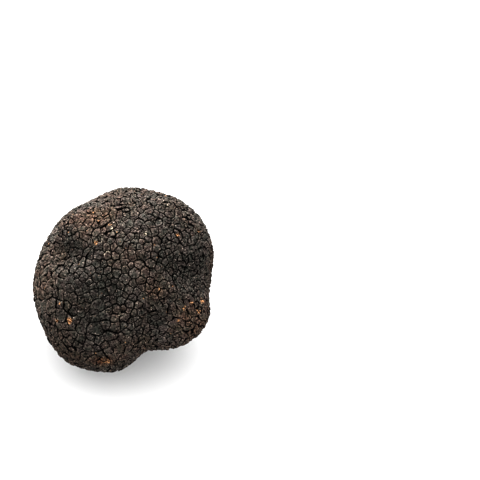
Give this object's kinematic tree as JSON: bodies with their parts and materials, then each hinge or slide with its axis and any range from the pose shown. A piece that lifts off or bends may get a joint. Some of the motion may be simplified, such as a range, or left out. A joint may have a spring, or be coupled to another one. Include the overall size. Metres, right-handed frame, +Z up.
{
  "type": "black truffle",
  "caption": "Whole black truffle, nearly round and lobed, with a cleft and a toe at the front, covered all over in low polygonal warts, resting on a small flat spot.",
  "frame": {"origin": "on the resting plane, under the middle of the bounding box", "axes": "+Z up out of the resting plane, -Y towards the side with the cleft and the toe lobe, +X to the right as seen from that side"},
  "size_m": [0.0606, 0.0626, 0.059],
  "materials": {
    "peridium": "matte"
  },
  "bodies": {
    "root": {"truffle": "peridium"}
  },
  "joints": []
}
